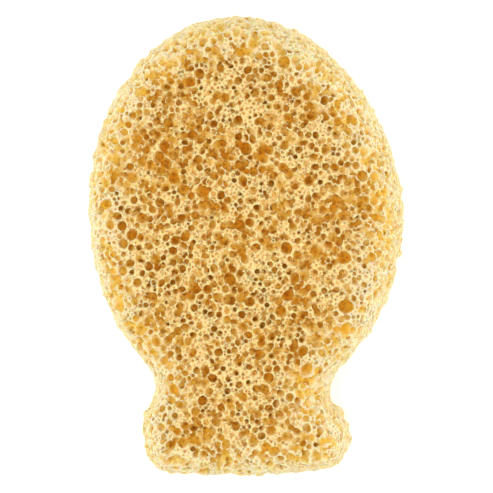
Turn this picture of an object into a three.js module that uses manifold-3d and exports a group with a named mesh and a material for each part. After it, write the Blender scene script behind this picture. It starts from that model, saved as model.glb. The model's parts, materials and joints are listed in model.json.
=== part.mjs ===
// A bath sponge of coarse open-cell foam, cut to a plain fish outline: an oval body,
// a waist and a short flared tail. It is one piece of foam, so it is one solid.
// Millimetres, +Z up. The sponge lies on its flat back with its head towards +Y, and
// the origin is on the surface under the middle of its box.
import * as THREE from 'three';
import { MeshSurfaceSampler } from 'three/addons/math/MeshSurfaceSampler.js';
import { mergeGeometries, mergeVertices } from 'three/addons/utils/BufferGeometryUtils.js';
import Module from 'manifold-3d';

// Driving dimensions
const LENGTH = 150;
const WIDTH = 103;
const THICKNESS = 40;

// The oval body, whose head leans a little to the left and narrows
const OVAL = { halfWidth: WIDTH / 2, halfLength: 64, step: 18, from: -36, to: 216 };
const HEAD = { lean: 3.3, narrowing: 0.025 };
const OVAL_CENTRE_Y = LENGTH / 2 - OVAL.halfLength;

// The tail from the left of the waist round to the right of it. Rows are [x, y].
const TAIL = [
  [-29.6, -45.4],
  [-34.2, -56],
  [-32.8, -67.5],
  [-27.5, -73.4],
  [-4, -LENGTH / 2],
  [17, -74],
  [30, -71.2],
  [34.5, -63],
  [31.8, -54.5],
  [27.4, -47.3],
];

// The side wall in section: a small round at the back and a tall round at the front
const HEEL = { inset: 3, rise: 6, steps: 2 };
const SHOULDER = { inset: 8, drop: 25, steps: 5 };
const STEPS_PER_SPAN = 4;

// The pores that stand out on the front, by their place on it. Rows are [x, y, radius].
const FRONT_PORES = [
  [1, 32, 2.7], [15, 42, 2.1], [14, 33.5, 2], [24, 51, 2],
  [-15.5, 53.5, 1.9], [-6.5, 58, 1.8], [-33, 35, 1.9], [-34.5, 23, 2.2], [-38, 26.5, 1.8],
  [-24.5, 20, 2.1], [-21, 23, 2], [-26, 15, 1.9], [-12, 18, 2], [-35, 5, 2.2], [-39, 10.5, 1.9],
  [-7.5, 4.5, 1.9], [-35.5, -4, 1.9], [-29.5, 1, 1.8], [-15, -12, 2.2], [-23.5, -14.5, 1.8],
  [-4, -16, 2], [0, 7.5, 2], [14.5, 0.5, 2.5], [24, 0.5, 2.7], [33, -2.5, 2.5], [39, 23.5, 2.2],
  [19.5, -5, 1.9], [15.5, -14.5, 2.1], [33.5, -18, 2.7], [34, -25.5, 2.3], [21, -38.5, 2.3],
  [-18, -25, 2.1], [-27, -29, 1.9], [-11.5, -38.5, 2], [-3.5, -48, 1.9], [6.5, -30, 1.8],
  [-18.5, -62, 1.9], [26, -61.5, 1.8], [43.5, 10.5, 1.9], [35, 18, 1.8], [-10.5, -45.5, 1.8],
];

// The other pores are spread over the whole surface.
const SPREAD = { tries: 4000, radiusMin: 1.4, radiusMax: 2.5, spacing: 6.9, seed: 11 };
const PORE = { sidesMin: 5, sidesMax: 7, depth: 1.5, squash: 0.75, proud: 0.4 };
const FOAM_BETWEEN = 0.5; // least foam left between two pores

const wasm = await Module();
wasm.setup();

let seed = SPREAD.seed;

function random(low, high) {
  seed += 1;
  return low + (high - low) * THREE.MathUtils.seededRandom(seed);
}

// The points that the outline passes through, anticlockwise from the right of the waist
function outlineControls() {
  const points = [];
  for (let angle = OVAL.from; angle <= OVAL.to; angle += OVAL.step) {
    const turn = THREE.MathUtils.degToRad(angle);
    const up = Math.sin(turn);
    const headward = Math.max(up, 0);
    const halfWidth = OVAL.halfWidth * (1 - HEAD.narrowing * headward);
    points.push(
      new THREE.Vector3(
        halfWidth * Math.cos(turn) - HEAD.lean * headward,
        OVAL_CENTRE_Y + OVAL.halfLength * up,
      ),
    );
  }
  TAIL.forEach(([x, y]) => points.push(new THREE.Vector3(x, y)));
  return points;
}

// The outline drawn in by a distance: each control point moves square to its neighbours.
function outline(inset) {
  const controls = outlineControls();
  const count = controls.length;
  const moved = controls.map((point, i) => {
    const along = controls[(i + 1) % count].clone().sub(controls[(i + count - 1) % count]);
    const inward = new THREE.Vector3(-along.y, along.x).normalize();
    return point.clone().addScaledVector(inward, inset);
  });
  const curve = new THREE.CatmullRomCurve3(moved, true);
  return curve.getPoints(count * STEPS_PER_SPAN).slice(0, -1);
}

// Heights and insets of the rings that the wall runs through, from the back up
function wallLevels() {
  const levels = [];
  for (let i = 0; i <= HEEL.steps; i++) {
    const turn = (i / HEEL.steps) * (Math.PI / 2);
    levels.push([HEEL.rise * (1 - Math.cos(turn)), HEEL.inset * (1 - Math.sin(turn))]);
  }
  for (let i = 0; i <= SHOULDER.steps; i++) {
    const turn = (i / SHOULDER.steps) * (Math.PI / 2);
    const below = SHOULDER.drop * (1 - Math.sin(turn));
    levels.push([THICKNESS - below, SHOULDER.inset * (1 - Math.cos(turn))]);
  }
  return levels;
}

// The sponge before its pores: rings joined into a wall, with a flat face at each end
function blankGeometry() {
  const rings = wallLevels().map(([z, inset]) => outline(inset).map((p) => p.setZ(z)));
  const around = rings[0].length;
  const index = [];
  for (let level = 0; level + 1 < rings.length; level++) {
    for (let i = 0; i < around; i++) {
      const low = level * around;
      const next = (i + 1) % around;
      index.push(low + i, low + next, low + around + i);
      index.push(low + next, low + around + next, low + around + i);
    }
  }
  const top = (rings.length - 1) * around;
  THREE.ShapeUtils.triangulateShape(rings[0], []).forEach(([a, b, c]) => index.push(a, c, b));
  THREE.ShapeUtils.triangulateShape(rings.at(-1), []).forEach(([a, b, c]) =>
    index.push(top + a, top + b, top + c),
  );
  const geometry = new THREE.BufferGeometry().setFromPoints(rings.flat());
  geometry.setIndex(index);
  return geometry;
}

// Pores on the front by hand, then others wherever the skin has room for them
function placePores(blank) {
  const pores = FRONT_PORES.map(([x, y, radius]) => ({
    at: new THREE.Vector3(x, y, THICKNESS),
    outward: new THREE.Vector3(0, 0, 1),
    radius,
  }));
  const skin = blank.toNonIndexed();
  skin.computeVertexNormals();
  const sampler = new MeshSurfaceSampler(new THREE.Mesh(skin)).build();
  sampler.setRandomGenerator(() => random(0, 1));
  for (let i = 0; i < SPREAD.tries; i++) {
    const at = new THREE.Vector3();
    const outward = new THREE.Vector3();
    sampler.sample(at, outward);
    const radius = random(SPREAD.radiusMin, SPREAD.radiusMax);
    const clear = pores.every((other) => {
      const room = Math.max(other.radius + radius + FOAM_BETWEEN, SPREAD.spacing);
      return other.at.distanceTo(at) > room;
    });
    if (clear) pores.push({ at, outward, radius });
  }
  return pores;
}

// One pore: a many-sided funnel that opens outward, turned and squashed by chance
function poreGeometry({ at, outward, radius }) {
  const depth = PORE.depth * radius;
  const funnel = new THREE.ConeGeometry(
    radius,
    depth + PORE.proud,
    Math.round(random(PORE.sidesMin, PORE.sidesMax)),
  );
  funnel.scale(1, 1, random(PORE.squash, 1));
  funnel.rotateY(random(0, 2 * Math.PI));
  funnel.translate(0, (depth - PORE.proud) / 2, 0);
  const inward = outward.clone().negate();
  funnel.applyQuaternion(
    new THREE.Quaternion().setFromUnitVectors(new THREE.Vector3(0, 1, 0), inward),
  );
  return funnel.translate(at.x, at.y, at.z);
}

function toSolid(geometry) {
  const bare = geometry.clone();
  bare.deleteAttribute('normal');
  bare.deleteAttribute('uv');
  const merged = mergeVertices(bare);
  return new wasm.Manifold(
    new wasm.Mesh({
      numProp: 3,
      vertProperties: merged.attributes.position.array,
      triVerts: new Uint32Array(merged.index.array),
    }),
  );
}

function toGeometry(solid) {
  const { vertProperties, triVerts } = solid.getMesh();
  const geometry = new THREE.BufferGeometry();
  geometry.setAttribute('position', new THREE.BufferAttribute(vertProperties, 3));
  geometry.setIndex(new THREE.BufferAttribute(triVerts, 1));
  geometry.computeVertexNormals();
  return geometry;
}

function makeSponge() {
  const blank = blankGeometry();
  const pores = mergeGeometries(placePores(blank).map(poreGeometry));
  const foam = new THREE.MeshStandardMaterial({ color: 0xf0c470, roughness: 0.95, metalness: 0 });
  const sponge = new THREE.Mesh(toGeometry(toSolid(blank).subtract(toSolid(pores))), foam);
  sponge.name = 'sponge';
  return sponge;
}

const part = new THREE.Group();
part.add(makeSponge());

export default part;
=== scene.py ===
# A bath sponge of coarse open-cell foam in a plain fish outline, lying on its back
import bpy
import json
import math
import numpy as np
from mathutils import Matrix, Vector
from mathutils.bvhtree import BVHTree
from mathutils.kdtree import KDTree

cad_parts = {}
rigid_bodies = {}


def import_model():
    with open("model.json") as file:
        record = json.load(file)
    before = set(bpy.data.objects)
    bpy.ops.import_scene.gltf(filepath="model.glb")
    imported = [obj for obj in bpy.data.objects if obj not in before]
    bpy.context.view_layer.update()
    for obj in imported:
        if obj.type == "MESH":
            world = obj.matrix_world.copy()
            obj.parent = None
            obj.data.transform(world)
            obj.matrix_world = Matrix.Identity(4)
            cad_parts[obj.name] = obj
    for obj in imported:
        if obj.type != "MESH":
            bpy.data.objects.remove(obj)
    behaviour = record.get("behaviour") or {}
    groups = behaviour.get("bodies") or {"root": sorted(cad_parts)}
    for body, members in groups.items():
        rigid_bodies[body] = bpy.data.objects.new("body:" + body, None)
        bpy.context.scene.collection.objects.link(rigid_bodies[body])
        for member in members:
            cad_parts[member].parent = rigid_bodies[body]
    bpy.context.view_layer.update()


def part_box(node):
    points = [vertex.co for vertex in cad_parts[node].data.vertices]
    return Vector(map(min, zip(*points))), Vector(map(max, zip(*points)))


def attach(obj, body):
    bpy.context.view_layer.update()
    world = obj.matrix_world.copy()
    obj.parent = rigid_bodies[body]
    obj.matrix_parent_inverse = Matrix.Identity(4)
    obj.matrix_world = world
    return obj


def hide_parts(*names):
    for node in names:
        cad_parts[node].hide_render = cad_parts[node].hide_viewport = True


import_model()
spongeLow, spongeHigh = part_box("sponge")
mm = 0.001

# Camera, floor and light
cameraSetup = {
    "lean": (0.073, 0.05),      # how far the view leans to +X and +Y for each unit of height
    "distance": 1.5,            # m
    "sensor": 36.0,             # mm
    "frameHeight": 160.0,       # mm of the object's plane that the picture takes in
    "aim": (0.0, -0.2, 14.0),   # mm, the point in the middle of the picture
}
lightSetup = {
    "skyStrength": 0.59,
    "softboxes": [              # W, size in m and place
        (6.3, 1.2, (-0.1, 0.0, 1.3)),
        (2.8, 0.8, (-0.9, 0.0, 0.45)),
        (3.2, 0.8, (0.9, 0.0, 0.45)),
    ],
    "floorSize": 6.0,           # m
    "floorColour": (0.93, 0.93, 0.93, 1),
    "floorRoughness": 0.9,
    "floorGlow": 0.35,          # the floor is a light table
}


def makeCamera():
    leanX, leanY = cameraSetup["lean"]
    back = Vector((leanX, leanY, 1)).normalized()
    right = Vector((0, 1, 0)).cross(back).normalized()
    up = back.cross(right)
    data = bpy.data.cameras.new("photoCamera")
    data.sensor_width = cameraSetup["sensor"]
    data.lens = data.sensor_width * cameraSetup["distance"] / (cameraSetup["frameHeight"] * mm)
    camera = bpy.data.objects.new("photoCamera", data)
    bpy.context.scene.collection.objects.link(camera)
    camera.location = Vector(cameraSetup["aim"]) * mm + back * cameraSetup["distance"]
    camera.rotation_euler = Matrix((right, up, back)).transposed().to_euler()
    bpy.context.scene.camera = camera


def makeFloor():
    bpy.ops.object.select_all(action="DESELECT")
    bpy.ops.mesh.primitive_plane_add(size=lightSetup["floorSize"])
    floor = bpy.context.object
    floor.name = "floor"
    paper = bpy.data.materials.new("floorPaper")
    paper.use_nodes = True
    shader = paper.node_tree.nodes["Principled BSDF"]
    shader.inputs["Base Color"].default_value = lightSetup["floorColour"]
    shader.inputs["Roughness"].default_value = lightSetup["floorRoughness"]
    shader.inputs["Emission Color"].default_value = (1, 1, 1, 1)
    shader.inputs["Emission Strength"].default_value = lightSetup["floorGlow"]
    floor.data.materials.append(paper)


def makeLight():
    sky = bpy.data.worlds.new("softSky")
    sky.use_nodes = True
    background = sky.node_tree.nodes["Background"]
    background.inputs["Color"].default_value = (1, 1, 1, 1)
    background.inputs["Strength"].default_value = lightSetup["skyStrength"]
    bpy.context.scene.world = sky
    for power, size, place in lightSetup["softboxes"]:
        bpy.ops.object.light_add(type="AREA", location=place)
        softbox = bpy.context.object
        softbox.name = "softbox"
        softbox.data.size = size
        softbox.data.energy = power
        softbox.rotation_euler = softbox.location.to_track_quat("Z", "Y").to_euler()
    bpy.context.scene.view_settings.view_transform = "Standard"


makeCamera()
makeFloor()
makeLight()
print("camera, floor and light are up")


# The foam before its pores open, in mm
foamShape = {
    "ovalHalfLength": 64.0,
    "ovalAngles": range(-36, 217, 18),   # degrees, from the right of the waist over the head
    "headLean": 3.3,                     # the head leans to the left
    "headNarrowing": 0.025,
    "tail": [
        (-29.6, -45.4),
        (-34.2, -56.0),
        (-32.8, -67.5),
        (-27.5, -73.4),
        (-4.0, -75.0),
        (17.0, -74.0),
        (30.0, -71.2),
        (34.5, -63.0),
        (31.8, -54.5),
        (27.4, -47.3),
    ],
    "stepsPerSpan": 6,
    "heel": {"inset": 3.0, "rise": 6.0, "steps": 4},
    "shoulder": {"inset": 8.0, "drop": 25.0, "steps": 10},
    "remesh": 1.6,
    "unevenness": 2.8,                   # how far the dips and humps lie apart
    "unevenScale": 3.0,
    "unevenTall": 4.0,                   # the dips run up the wall
    "humpLevel": 0.78,                   # share of the unevenness that lies under the cut
}


def smoothLoop(points, perSpan):  # closed centripetal spline through the points
    loop = []
    count = len(points)
    for i in range(count):
        a, b, c, d = (points[(i + k) % count] for k in (-1, 0, 1, 2))
        before, span, after = (math.sqrt((q - p).length) for p, q in ((a, b), (b, c), (c, d)))
        leave = ((b - a) / before - (c - a) / (before + span) + (c - b) / span) * span
        arrive = ((c - b) / span - (d - b) / (span + after) + (d - c) / after) * span
        bend = (c - b) * 3 - leave * 2 - arrive
        twist = (b - c) * 2 + leave + arrive
        for step in range(perSpan):
            t = step / perSpan
            loop.append(b + leave * t + bend * t**2 + twist * t**3)
    return loop


def outlineLoop(inset):  # the outline drawn in by a distance
    halfWidth = (spongeHigh.x - spongeLow.x) / 2 / mm
    headTop = spongeHigh.y / mm
    points = []
    for angle in foamShape["ovalAngles"]:
        turn = math.radians(angle)
        headward = max(math.sin(turn), 0)
        x = halfWidth * (1 - foamShape["headNarrowing"] * headward) * math.cos(turn)
        y = headTop + foamShape["ovalHalfLength"] * (math.sin(turn) - 1)
        points.append(Vector((x - foamShape["headLean"] * headward, y, 0)))
    points += [Vector((x, y, 0)) for x, y in foamShape["tail"]]
    moved = []
    for i, point in enumerate(points):
        along = points[(i + 1) % len(points)] - points[i - 1]
        inward = Vector((-along.y, along.x, 0)).normalized()
        moved.append(point + inward * inset)
    return smoothLoop(moved, foamShape["stepsPerSpan"])


def wallLevels():  # (height, inset) from the back up to the front
    heel, shoulder = foamShape["heel"], foamShape["shoulder"]
    front = spongeHigh.z / mm
    levels = []
    for i in range(heel["steps"] + 1):
        turn = i / heel["steps"] * math.pi / 2
        levels.append((heel["rise"] * (1 - math.cos(turn)), heel["inset"] * (1 - math.sin(turn))))
    for i in range(shoulder["steps"] + 1):
        turn = i / shoulder["steps"] * math.pi / 2
        below = shoulder["drop"] * (1 - math.sin(turn))
        levels.append((front - below, shoulder["inset"] * (1 - math.cos(turn))))
    return levels


def applyModifier(piece, kind, **settings):
    modifier = piece.modifiers.new(kind.lower(), kind)
    for name, value in settings.items():
        setattr(modifier, name, value)
    bpy.context.view_layer.objects.active = piece
    bpy.ops.object.modifier_apply(modifier=modifier.name)


def makeFoamBlock():  # the outline lifted level by level
    levels = wallLevels()
    height, inset = levels[0]
    ring = outlineLoop(inset)
    bpy.ops.object.select_all(action="DESELECT")
    bpy.ops.mesh.primitive_circle_add(vertices=len(ring), radius=1, fill_type="NGON")
    block = bpy.context.object
    block.name = "sponge_foam"
    for vertex, spot in zip(block.data.vertices, ring):
        vertex.co = (spot.x * mm, spot.y * mm, height * mm)
    for height, inset in levels[1:]:
        bpy.ops.object.mode_set(mode="EDIT")
        bpy.ops.mesh.extrude_region_move(TRANSFORM_OT_translate={"value": (0, 0, mm)})
        bpy.ops.object.mode_set(mode="OBJECT")
        nextRing = outlineLoop(inset)
        for vertex in (v for v in block.data.vertices if v.select):
            here = Vector((vertex.co.x / mm, vertex.co.y / mm, 0))
            nearest = min(range(len(ring)), key=lambda i: (ring[i] - here).length)
            spot = nextRing[nearest]
            vertex.co = (spot.x * mm, spot.y * mm, height * mm)
        ring = nextRing
    bpy.ops.object.mode_set(mode="EDIT")
    bpy.ops.mesh.select_all(action="SELECT")
    bpy.ops.mesh.normals_make_consistent(inside=False)
    bpy.ops.object.mode_set(mode="OBJECT")
    applyModifier(block, "REMESH", mode="VOXEL", voxel_size=foamShape["remesh"] * mm)
    return block


def roughenSkin(block):  # the cut leaves the skin a little uneven
    clouds = bpy.data.textures.new("unevenCut", "CLOUDS")
    clouds.noise_scale = foamShape["unevenScale"] * mm
    bpy.ops.object.select_all(action="DESELECT")
    bpy.ops.object.empty_add()
    guide = bpy.context.object
    guide.scale.z = foamShape["unevenTall"]
    bpy.context.view_layer.update()
    applyModifier(
        block,
        "DISPLACE",
        texture=clouds,
        texture_coords="OBJECT",
        texture_coords_object=guide,
        mid_level=foamShape["humpLevel"],
        strength=foamShape["unevenness"] * mm,
    )
    bpy.data.objects.remove(guide)
    applyModifier(block, "TRIANGULATE")


block = makeFoamBlock()
roughenSkin(block)
skin = BVHTree.FromObject(block, bpy.context.evaluated_depsgraph_get())
print("foam block:", len(block.data.polygons), "faces")


# The pores, which are bubbles that the cut has opened, in mm
poreSetup = {
    "seed": 5,
    "coverage": 0.86,             # area of the wider pores over that of the skin, laps counted twice
    "opening": (0.45, 2.3),       # radius of a wider pore where it meets the skin
    "openingSkew": (1.15, 3.1),   # most are small
    "openingSpread": 1.13,        # how much more area the openings have than if all were alike
    "nearness": (0.8, 1.06),      # how close two pores come, in the sum of their radii
    "strut": 0.14,                # foam between two pores
    "settleSteps": 22,
    "settlePush": 0.8,            # share of a lap that one step clears
    "leastApart": 0.001,          # least distance that two pores count for
    "castFrom": 100.0,            # height from which the wide front pores drop onto the skin
    "shallowShare": 0.14,         # pores whose bubble was cut below its middle
    "shallowDepth": (-0.5, -0.1),
    "deepDepth": (0.0, 0.45),     # how deep a bubble's middle lies under the skin, in its radii
    "backBelow": 3.0,             # the back has wider and fewer pores
    "backWider": 1.4,
    "smallTries": 140000,
    "smallRadii": (0.6, 0.4, 0.26),
    "smallStrut": 0.08,
    "cellSize": 4.0,              # wider than any pore reaches
    "stretch": 1.3,               # pores are longer than they are wide
    "smallStretch": 1.5,
    "smallDepth": 0.4,
    "innerShares": (0.75, 0.35),  # pores with one more bubble under them, and with a second
    "innerAbove": 10.0,           # height from which they are opened
    "innerUnder": 0.85,           # least radius of a bubble that has others under it
    "innerRadius": (0.7, 1.3),
    "innerLap": (0.55, 0.8),
    "innerSpread": 0.5,
    "squash": (0.82, 1.14),
    "tilt": 0.25,
    "lumpiness": 0.07,            # spread of a bubble's points about its round
    "farLump": 3,                 # spreads within which nearly all of them lie
    "roundAbove": 1.0,            # wider bubbles have a round rim, smaller ones are many-sided
}

# Wide pores on the front by their place and opening, (x, y, radius)
frontPores = [
    (1.5, 71, 2), (17, 67.5, 2), (-9, 66.5, 1.6), (-18.5, 65, 1.6), (13.5, 63.5, 1.6),
    (-0.5, 63, 1.8), (-13.5, 61, 1.6), (-6.5, 58, 1.6), (32.5, 56, 1.6), (-16, 53.5, 1.8),
    (24, 51.5, 2), (17.5, 50.5, 1.8), (21.5, 50.5, 1.6), (31, 47, 1.6), (23.5, 46, 1.6),
    (15, 42, 2.1), (-23, 35.5, 1.6), (-33, 35, 1.8), (14, 33.5, 2), (43.5, 32.5, 2), (2, 32, 2.6),
    (-30.5, 31.5, 1.6), (7.5, 29, 1.8), (-31.5, 28, 1.8), (-38, 26.5, 1.6), (4, 25, 1.6),
    (39, 23.5, 2.1), (-34.5, 23, 2.1), (-21.5, 23, 2), (28, 20.5, 1.6), (-24.5, 20, 2), (-12, 18, 2),
    (35, 18, 1.6), (24, 17, 1.6), (-26, 15, 1.8), (-43, 14.5, 2), (-12, 14, 1.6), (10.5, 14, 1.6),
    (26, 12.5, 1.6), (-5, 11.5, 1.6), (-39.5, 10.5, 1.8), (43.5, 10.5, 1.8), (3, 8.5, 1.8),
    (0, 7.5, 2), (-35, 5, 2.1), (-7.5, 4.5, 1.8), (-29.5, 1, 1.8), (14.5, 0.5, 2.4), (24, 0, 2.6),
    (-2.5, -1.5, 1.6), (33, -2.5, 2.4), (1.5, -3, 1.6), (-35.5, -4.5, 1.8), (19.5, -5, 1.8),
    (-29.5, -5.5, 1.6), (46, -6, 2.1), (-36.5, -10, 1.6), (-15, -12.5, 2.1), (20, -13.5, 1.6),
    (-23.5, -14.5, 1.6), (15.5, -14.5, 2.1), (-3.5, -16, 2), (33.5, -18, 2.6), (-18, -25, 2),
    (34, -25.5, 2.3), (-27, -29.5, 1.8), (6.5, -30, 1.6), (-15.5, -33, 1.6), (-11.5, -38.5, 1.8),
    (21, -38.5, 2.3), (5, -44.5, 1.6), (-10, -45.5, 1.6), (18.5, -46, 1.6), (-3.5, -48, 1.8),
    (-14.5, -52, 1.6), (-18, -56.5, 1.6), (26.5, -61.5, 1.6), (-18.5, -62, 1.8),
]


def skinArea(block):  # in mm2, the back counted for less
    mesh = block.data
    front = sum(p.area for p in mesh.polygons if p.center.z > poreSetup["backBelow"] * mm)
    back = sum(p.area for p in mesh.polygons) - front
    return (front + back / poreSetup["backWider"] ** 2) / mm**2


def scatterOnSkin(block, count, rng):
    mesh = block.data
    corners = np.array([[mesh.vertices[i].co for i in p.vertices] for p in mesh.polygons]) / mm
    areas = np.array([p.area for p in mesh.polygons])
    areas[corners[:, :, 2].mean(axis=1) < poreSetup["backBelow"]] /= poreSetup["backWider"] ** 2
    face = rng.choice(len(areas), count, p=areas / areas.sum())
    share = rng.dirichlet((1, 1, 1), count)
    return (corners[face] * share[:, :, None]).sum(axis=1)


def onSkin(points):  # the nearest points of the skin, with the way out from each
    found = [skin.find_nearest(Vector(p) * mm) for p in points]
    return np.array([f[0] for f in found]) / mm, np.array([f[1] for f in found])


def nearPairs(spots, reach):  # pairs of pores that may touch
    tree = KDTree(len(spots))
    for i, spot in enumerate(spots):
        tree.insert(spot, i)
    tree.balance()
    pairs = []
    for i, spot in enumerate(spots):
        pairs += [(i, j) for place, j, distance in tree.find_range(spot, reach[i]) if j > i]
    return np.array(pairs).T


def settlePores(block, rng):  # the wider pores, pushed apart over the skin until they only just lap
    smallest, largest = poreSetup["opening"]
    skew = poreSetup["openingSkew"]
    meanSize = smallest + (largest - smallest) * skew[0] / sum(skew)
    meanArea = poreSetup["openingSpread"] * math.pi * meanSize**2
    count = int(poreSetup["coverage"] * skinArea(block) / meanArea)
    sizes = smallest + (largest - smallest) * rng.beta(*skew, count)
    spots = scatterOnSkin(block, count, rng)
    sizes[spots[:, 2] < poreSetup["backBelow"]] *= poreSetup["backWider"]
    for i, (x, y, size) in enumerate(frontPores):
        above = Vector((x, y, poreSetup["castFrom"])) * mm
        spots[i] = np.array(skin.ray_cast(above, Vector((0, 0, -1)))[0]) / mm
        sizes[i] = size
    nearness = rng.uniform(*poreSetup["nearness"], count)
    for step in range(poreSetup["settleSteps"]):
        first, second = nearPairs(spots, sizes + largest)
        apart = spots[first] - spots[second]
        distance = np.maximum(np.linalg.norm(apart, axis=1), poreSetup["leastApart"])
        wanted = (sizes[first] + sizes[second]) * (nearness[first] + nearness[second]) / 2
        short = np.maximum(wanted + poreSetup["strut"] - distance, 0)
        move = apart * (short / distance / 2)[:, None]
        push = np.zeros_like(spots)
        np.add.at(push, first, move)
        np.add.at(push, second, -move)
        push[: len(frontPores)] = 0
        spots, outward = onSkin(spots + push * poreSetup["settlePush"])
    print("wider pores:", count)
    return spots, sizes, outward


def fillStruts(block, spots, sizes, rng):  # small pores wherever the struts leave room
    tries = scatterOnSkin(block, poreSetup["smallTries"], rng)
    cellSize = poreSetup["cellSize"]
    homes = np.floor(tries / cellSize).astype(int)
    order = np.lexsort(homes.T)
    tries, homes = tries[order], homes[order]
    starts = np.flatnonzero(np.any(np.diff(homes, axis=0, prepend=homes[:1] - 1), axis=1))
    ends = np.append(starts[1:], len(tries))
    inHome = {tuple(homes[s]): slice(s, e) for s, e in zip(starts, ends)}
    around = [np.array((i, j, k)) for i in (-1, 0, 1) for j in (-1, 0, 1) for k in (-1, 0, 1)]
    room = np.full(len(tries), cellSize)

    def takeRoom(centre, radius):
        home = np.floor(centre / cellSize).astype(int)
        for step in around:
            near = inHome.get(tuple(home + step))
            if near:
                gap = np.linalg.norm(tries[near] - centre, axis=1) - radius - poreSetup["smallStrut"]
                room[near] = np.minimum(room[near], gap)

    for spot, size in zip(spots, sizes):
        takeRoom(spot, size)
    print("share of the skin that the wider pores open:", round((room < 0).mean(), 2))
    newSpots, newSizes = [], []
    for least in poreSetup["smallRadii"]:
        for i in rng.permutation(np.flatnonzero(room > least)):
            if room[i] > least:
                newSpots.append(tries[i])
                newSizes.append(room[i])
                takeRoom(tries[i], room[i])
        print("small pores over", least, "mm:", len(newSizes))
    newSpots, outward = onSkin(newSpots)
    return newSpots, np.array(newSizes), outward


def cutDepths(count, rng):  # how deep the middle of each pore's bubble lies, in its radii
    shallow = rng.random(count) < poreSetup["shallowShare"]
    shallow[: len(frontPores)] = False
    shallowDepth = rng.uniform(*poreSetup["shallowDepth"], count)
    deepDepth = rng.uniform(*poreSetup["deepDepth"], count)
    return np.where(shallow, shallowDepth, deepDepth)


def bubblesUnder(spots, sizes, outward, depth):  # the bubble that each pore is the cut of
    radii = sizes / np.sqrt(1 - depth**2)
    return spots - outward * (depth * radii)[:, None], radii, outward


def innerBubbles(centres, radii, outward, share, rng):  # the next bubbles in
    chosen = (rng.random(len(radii)) < share) & (radii > poreSetup["innerUnder"])
    chosen &= centres[:, 2] > poreSetup["innerAbove"]
    centres, radii, outward = centres[chosen], radii[chosen], outward[chosen]
    inner = rng.uniform(*poreSetup["innerRadius"], len(radii))
    way = rng.normal(scale=poreSetup["innerSpread"], size=outward.shape) - outward
    way /= np.linalg.norm(way, axis=1)[:, None]
    apart = (radii + inner) * rng.uniform(*poreSetup["innerLap"], len(radii))
    return centres + way * apart[:, None], inner, -way


def sortIntoGroups(centres, radii, lengths):  # no two bubbles in a group touch
    furthest = poreSetup["squash"][1] * (1 + poreSetup["farLump"] * poreSetup["lumpiness"])
    reach = np.maximum(radii, lengths) * furthest
    first, second = nearPairs(centres, reach + reach.max())
    touching = np.linalg.norm(centres[first] - centres[second], axis=1) < reach[first] + reach[second]
    touched = [[] for i in radii]
    for i, j in zip(first[touching], second[touching]):
        touched[j].append(i)
    groups = np.zeros(len(radii), int)
    for i, others in enumerate(touched):
        used = set(groups[others])
        groups[i] = next(g for g in range(len(radii)) if g not in used)
    return groups


def bubbleForm(addBall, **settings):
    bpy.ops.object.select_all(action="DESELECT")
    addBall(radius=1, **settings)
    ball = bpy.context.object
    points = np.array([v.co for v in ball.data.vertices])
    faces = [list(p.vertices) for p in ball.data.polygons]
    bpy.data.objects.remove(ball)
    return points, faces


def bubbleTurn(way, rng):  # stands a bubble's axis near a direction, spun by chance
    axis = way + rng.normal(scale=poreSetup["tilt"], size=3)
    axis /= np.linalg.norm(axis)
    across = np.cross(axis, rng.normal(size=3))
    across /= np.linalg.norm(across)
    return np.array((across, np.cross(axis, across), axis))


def joinedBubbles(centres, radii, lengths, ways, rng):  # bubbles in one mesh, squashed by chance
    allPoints, allFaces, total = [], [], 0
    for centre, radius, length, way in zip(centres, radii, lengths, ways):
        points, faces = roundForm if radius > poreSetup["roundAbove"] else plainForm
        lumps = rng.normal(1, poreSetup["lumpiness"], (len(points), 1))
        size = lumps * rng.uniform(*poreSetup["squash"], 3) * (radius, radius, length)
        allPoints.append((points * size) @ bubbleTurn(way, rng) + centre)
        allFaces += [[i + total for i in face] for face in faces]
        total += len(points)
    mesh = bpy.data.meshes.new("bubbles")
    mesh.from_pydata(np.concatenate(allPoints) * mm, [], allFaces)
    return bpy.data.objects.new("bubbles", mesh)


rng = np.random.default_rng(poreSetup["seed"])
roundForm = bubbleForm(bpy.ops.mesh.primitive_uv_sphere_add, segments=8, ring_count=4)
plainForm = bubbleForm(bpy.ops.mesh.primitive_ico_sphere_add, subdivisions=1)
spots, sizes, outward = settlePores(block, rng)
depth = cutDepths(len(sizes), rng)
deep = depth >= poreSetup["deepDepth"][0]
widePores = bubblesUnder(spots, sizes, outward, depth)
smallPores = fillStruts(block, spots[deep], sizes[deep], rng)
bubbles = [widePores, bubblesUnder(*smallPores, np.full(len(smallPores[1]), poreSetup["smallDepth"]))]
for share in poreSetup["innerShares"]:
    bubbles.append(innerBubbles(*widePores, share, rng))
centres, radii, ways = (np.concatenate(column) for column in zip(*bubbles))
lengths = radii.copy()
lengths[: len(sizes)] *= poreSetup["stretch"]
lengths[len(sizes) : len(sizes) + len(smallPores[1])] *= poreSetup["smallStretch"]
groups = sortIntoGroups(centres, radii, lengths)
cutters = bpy.data.collections.new("bubbles")
for group in range(groups.max() + 1):
    chosen = groups == group
    chosenBubbles = (values[chosen] for values in (centres, radii, lengths, ways))
    cutters.objects.link(joinedBubbles(*chosenBubbles, rng))
print("bubbles:", len(radii), "in", groups.max() + 1, "groups")
applyModifier(
    block,
    "BOOLEAN",
    solver="MANIFOLD",
    operation="DIFFERENCE",
    operand_type="COLLECTION",
    collection=cutters,
)
for cutter in list(cutters.objects):
    bpy.data.objects.remove(cutter)
bpy.data.collections.remove(cutters)
print("cut foam:", len(block.data.polygons), "faces")


# The finish of the cut foam
finishSetup = {
    "triangles": 400000,   # fewer make the pores' rims angular
    "mendSteps": 7,        # enough to close the mesh
    "softening": 0.4,      # rounds the rims
    "softenSteps": 2,
    "smoothAngle": 45,     # degrees
    "shortest": 1e-9,      # m, least length that an edge counts for
}


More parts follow.
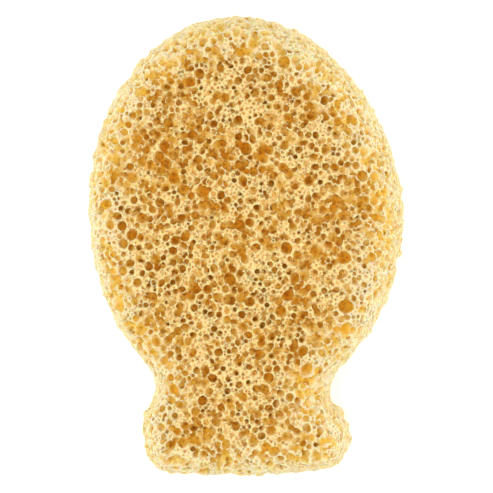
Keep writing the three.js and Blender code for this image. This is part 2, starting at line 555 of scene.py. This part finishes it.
def keepMainBody(piece):  # drops what the bubbles left loose
    bpy.ops.object.select_all(action="DESELECT")
    piece.select_set(True)
    bpy.context.view_layer.objects.active = piece
    bpy.ops.object.mode_set(mode="EDIT")
    bpy.ops.mesh.select_all(action="SELECT")
    bpy.ops.mesh.separate(type="LOOSE")
    bpy.ops.object.mode_set(mode="OBJECT")
    parts = sorted(bpy.context.selected_objects, key=lambda part: len(part.data.vertices))
    body = parts.pop()
    for part in parts:
        bpy.data.objects.remove(part)
    body.name = "sponge_foam"
    bpy.context.view_layer.objects.active = body
    print("loose bits dropped:", len(parts))
    return body


def thinMesh(piece):
    applyModifier(piece, "TRIANGULATE")
    triangles = len(piece.data.polygons)
    applyModifier(piece, "DECIMATE", ratio=min(1, finishSetup["triangles"] / triangles))
    print("thinned from", triangles, "to", len(piece.data.polygons), "triangles")


def selectFaults(mode, *kinds):  # edges and corners that a closed skin doesn't have
    faults = dict.fromkeys(("wire", "boundary", "multi_face", "non_contiguous", "verts"), False)
    faults.update(dict.fromkeys(kinds, True))
    bpy.ops.mesh.select_mode(type=mode)
    bpy.ops.mesh.select_all(action="DESELECT")
    bpy.ops.mesh.select_non_manifold(extend=False, **{"use_" + kind: on for kind, on in faults.items()})


def closeMesh(piece):  # mends the few faces that were torn or doubled
    bpy.context.view_layer.objects.active = piece
    bpy.ops.object.mode_set(mode="EDIT")
    selectFaults("EDGE", "multi_face")
    bpy.ops.mesh.delete(type="EDGE")
    for step in range(finishSetup["mendSteps"]):
        selectFaults("VERT", "boundary")
        bpy.ops.mesh.fill_holes(sides=0)
        bpy.ops.mesh.quads_convert_to_tris(quad_method="BEAUTY", ngon_method="BEAUTY")
        selectFaults("EDGE", "wire")
        bpy.ops.mesh.delete(type="EDGE")
        selectFaults("VERT", "multi_face", "boundary", "verts")
        bpy.ops.mesh.delete(type="VERT")
    bpy.ops.object.mode_set(mode="OBJECT")
    print("mended:", len(piece.data.polygons), "triangles")


def fromOutline(places):  # how far points lie in from the outline, in mm
    corners = np.array([(p.x, p.y) for p in outlineLoop(0)])
    spans = np.roll(corners, -1, axis=0) - corners
    nearest = np.full(len(places), np.inf)
    for corner, span in zip(corners, spans):
        out = places[:, :2] - corner
        along = np.clip(out @ span / (span @ span), 0, 1)
        nearest = np.minimum(nearest, np.linalg.norm(out - along[:, None] * span, axis=1))
    return nearest


def noteSurface(piece):  # depth under the skin, way in from the outline, both in mm, and sharpness
    mesh = piece.data
    depth = np.array([skin.find_nearest(v.co)[3] for v in mesh.vertices]) / mm
    places = np.empty((len(mesh.vertices), 3))
    normals = np.empty((len(mesh.vertices), 3))
    ends = np.empty((len(mesh.edges), 2), int)
    mesh.vertices.foreach_get("co", places.ravel())
    mesh.vertex_normals.foreach_get("vector", normals.ravel())
    mesh.edges.foreach_get("vertices", ends.ravel())
    along = places[ends[:, 1]] - places[ends[:, 0]]
    along /= np.maximum(np.linalg.norm(along, axis=1), finishSetup["shortest"])[:, None]
    drop = np.zeros(len(places))
    np.add.at(drop, ends[:, 0], -(along * normals[ends[:, 0]]).sum(axis=1))
    np.add.at(drop, ends[:, 1], (along * normals[ends[:, 1]]).sum(axis=1))
    sharp = drop / np.bincount(ends.ravel(), minlength=len(places))
    for name, values in (("depth", depth), ("inward", fromOutline(places / mm)), ("sharp", sharp)):
        mesh.attributes.new(name, "FLOAT", "POINT").data.foreach_set("value", values)


block = keepMainBody(block)
thinMesh(block)
closeMesh(block)
block = keepMainBody(block)
applyModifier(block, "SMOOTH", factor=finishSetup["softening"], iterations=finishSetup["softenSteps"])
noteSurface(block)
bpy.ops.object.shade_smooth_by_angle(angle=math.radians(finishSetup["smoothAngle"]))


# The foam's colours (linear) with painted shade and painted light, and grain
foamLook = {
    "frontShadeStops": [                        # painted shade: darker and more orange deeper under the skin, for the shade and bounced light in the pores
        (0.00, (0.98, 0.695, 0.285, 1)),
        (0.20, (0.91, 0.63, 0.215, 1)),
        (0.45, (0.78, 0.49, 0.11, 1)),
        (0.75, (0.71, 0.375, 0.035, 1)),
        (1.00, (0.73, 0.31, 0.01, 1)),
    ],
    "wallShadeAndLightStops": [                         # painted light: the wall is painted paler, with less painted shade in its pores, as if lit from all round
        (0.00, (0.92, 0.80, 0.54, 1)),
        (0.30, (0.91, 0.72, 0.33, 1)),
        (0.60, (0.91, 0.65, 0.15, 1)),
        (1.00, (0.91, 0.57, 0.05, 1)),
    ],
    "deepest": 2.7,                        # mm, where the last stop is reached
    "wallFrom": 20.0,                      # mm in from the outline, where the wall's painted light begins
    "wallTo": 3.0,                         # and where it is full
    "edgeLightColour": (0.99, 0.745, 0.35, 1),  # painted light: thin sharp edges are painted paler, as if lit through
    "edgeSharp": (0.15, 0.7),
    "edgeLightShare": 0.75,
    "blotchSize": 3.5,                     # mm
    "blotchDetail": 2,
    "blotchDepth": 1.6,                    # mm of depth that a blotch adds or takes
    "grainSize": 0.6,                      # mm
    "grainDetail": 4,
    "grainDepth": 1.8,                     # mm of depth that the grain adds or takes
    "grainHeight": 0.12,                   # mm
    "grainStrength": 0.5,
    "tintDepth": (0, 0.6),                 # mm, where blotches and grain set in
    "pinholeSize": 0.95,                   # mm between the pinholes
    "pinholeWidth": (0.2, 0.55),           # of the way to the next one
    "pinholeChance": (0, 0.6),             # some are fainter
    "pinholeDepth": (0.3, 1.0),            # mm, where those on the struts fade out
    # painted shade: the pinholes' dark dots stand for the shade in tiny pits
    "pinholeShadeColour": (0.38, 0.29, 0.13, 1),
    "pinholeShadeShare": 0.85,
    "pinholeOnWall": 0.3,                  # what is left of them on the wall
    "windowSize": 1.5,                     # mm between the windows in the pores' walls, dark spots of painted shade
    "windowWidth": (0.25, 0.55),
    "windowDepth": (0.4, 1.2),             # mm, where they set in
    "windowColour": (0.42, 0.15, 0.008, 1),
    "windowShadeShare": 0.65,
    "glintWidth": (0.45, 0.75),            # painted highlight: the thin foam between pinholes is painted palest
    "glintColour": (0.99, 0.765, 0.38, 1),
    "glintShare": 0.6,
    "roughness": (0.78, 0.95),
    "specular": 0.25,
    "throughLight": {"Weight": 0.6, "Radius": (1.0, 0.55, 0.2), "Scale": 0.002},
}


class Wire:  # a shader socket that takes part in sums
    def __init__(self, tree, socket=None):
        self.tree = tree
        self.socket = socket

    def node(self, kind, settings=None, values=None, output=0):
        made = self.tree.nodes.new(kind)
        for name, setting in (settings or {}).items():
            if name == "stops":
                made.color_ramp.elements.remove(made.color_ramp.elements[0])
                for i, (place, colour) in enumerate(setting):
                    stop = made.color_ramp.elements.new(place) if i else made.color_ramp.elements[0]
                    stop.position = place
                    stop.color = colour
            else:
                setattr(made, name, setting)
        for name, value in (values or {}).items():
            if isinstance(value, Wire):
                self.tree.links.new(value.socket, made.inputs[name])
            else:
                made.inputs[name].default_value = value
        return Wire(self.tree, made.outputs[output])

    def math(self, operation, *values):
        return self.node("ShaderNodeMath", {"operation": operation}, dict(enumerate(values)))

    def __add__(self, other):
        return self.math("ADD", self, other)

    def __radd__(self, other):
        return self.math("ADD", other, self)

    def __sub__(self, other):
        return self.math("SUBTRACT", self, other)

    def __rsub__(self, other):
        return self.math("SUBTRACT", other, self)

    def __mul__(self, other):
        return self.math("MULTIPLY", self, other)

    def __rmul__(self, other):
        return self.math("MULTIPLY", other, self)

    def __truediv__(self, other):
        return self.math("DIVIDE", self, other)

    def smooth(self, low, high):  # 0 at low, 1 at high
        values = {"Value": self, "From Min": low, "From Max": high}
        return self.node("ShaderNodeMapRange", {"interpolation_type": "SMOOTHSTEP"}, values)

    def mix(self, low, high):  # this value mixes two colours
        settings = {"data_type": "RGBA", "clamp_factor": True}
        return self.node("ShaderNodeMix", settings, {0: self, 6: low, 7: high}, output=2)

    def ramp(self, stops):
        return self.node("ShaderNodeValToRGB", {"stops": stops}, {"Fac": self})

    def feed(self, socket):
        self.tree.links.new(self.socket, socket)


def makeFoamMaterial():
    look = foamLook
    foam = bpy.data.materials.new("foam")
    foam.use_nodes = True
    shader = foam.node_tree.nodes["Principled BSDF"]
    start = Wire(foam.node_tree)
    place = start.node("ShaderNodeTexCoord", output="Object")
    depth, inward, sharp = (
        start.node("ShaderNodeAttribute", {"attribute_name": name}, output="Fac")
        for name in ("depth", "inward", "sharp")
    )
    blotch, grain = (
        start.node(
            "ShaderNodeTexNoise",
            {},
            {"Vector": place, "Scale": 1 / (look[name + "Size"] * mm), "Detail": look[name + "Detail"]},
        )
        for name in ("blotch", "grain")
    )
    cells = {"Vector": place, "Scale": 1 / (look["pinholeSize"] * mm)}
    toHole = start.node("ShaderNodeTexVoronoi", {}, cells, output="Distance")
    holeColour = start.node("ShaderNodeTexVoronoi", {}, cells, output="Color")
    holeChance = start.node("ShaderNodeSeparateColor", {}, {"Color": holeColour}, output="Red")
    windows = {"Vector": place, "Scale": 1 / (look["windowSize"] * mm)}
    toWindow = start.node("ShaderNodeTexVoronoi", {}, windows, output="Distance")
    strut = 1 - depth.smooth(*look["pinholeDepth"])
    opened = holeChance.smooth(*look["pinholeChance"])
    pinhole = (1 - toHole.smooth(*look["pinholeWidth"])) * opened * strut
    window = (1 - toWindow.smooth(*look["windowWidth"])) * depth.smooth(*look["windowDepth"])
    glint = toHole.smooth(*look["glintWidth"]) * strut

    # Noise runs from 0 to 1, so its middle is taken off
    tint = (blotch - 0.5) * 2 * look["blotchDepth"] + (grain - 0.5) * 2 * look["grainDepth"]
    # Painted shade: the colour darkens and turns orange with depth under the skin
    shade = (depth + tint * depth.smooth(*look["tintDepth"])) / look["deepest"]
    # Painted light: towards the outline the wall takes the paler colours
    wall = 1 - inward.smooth(look["wallTo"], look["wallFrom"])
    colour = wall.mix(shade.ramp(look["frontShadeStops"]), shade.ramp(look["wallShadeAndLightStops"]))
    # Painted light: sharp edges are painted paler
    edgeLight = sharp.smooth(*look["edgeSharp"]) * look["edgeLightShare"]
    colour = edgeLight.mix(colour, look["edgeLightColour"])
    # Painted highlight: glints on the thin foam between pinholes
    colour = (glint * look["glintShare"]).mix(colour, look["glintColour"])
    onWall = 1 - wall * (1 - look["pinholeOnWall"])
    # Painted shade: dark dots in the pinholes
    colour = (pinhole * onWall * look["pinholeShadeShare"]).mix(colour, look["pinholeShadeColour"])
    # Painted shade: dark windows in the pores' walls
    colour = (window * onWall * look["windowShadeShare"]).mix(colour, look["windowColour"])
    colour.feed(shader.inputs["Base Color"])

    smoothest, roughest = look["roughness"]
    (grain * (roughest - smoothest) + smoothest).feed(shader.inputs["Roughness"])
    height = grain - pinhole
    bump = {"Height": height, "Strength": look["grainStrength"], "Distance": look["grainHeight"] * mm}
    start.node("ShaderNodeBump", {}, bump).feed(shader.inputs["Normal"])
    shader.inputs["Specular IOR Level"].default_value = look["specular"]
    for name, value in look["throughLight"].items():
        shader.inputs["Subsurface " + name].default_value = value
    return foam


block.data.materials.clear()
block.data.materials.append(makeFoamMaterial())
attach(block, "root")
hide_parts("sponge")
print("foam is dressed:", len(block.data.polygons), "triangles")
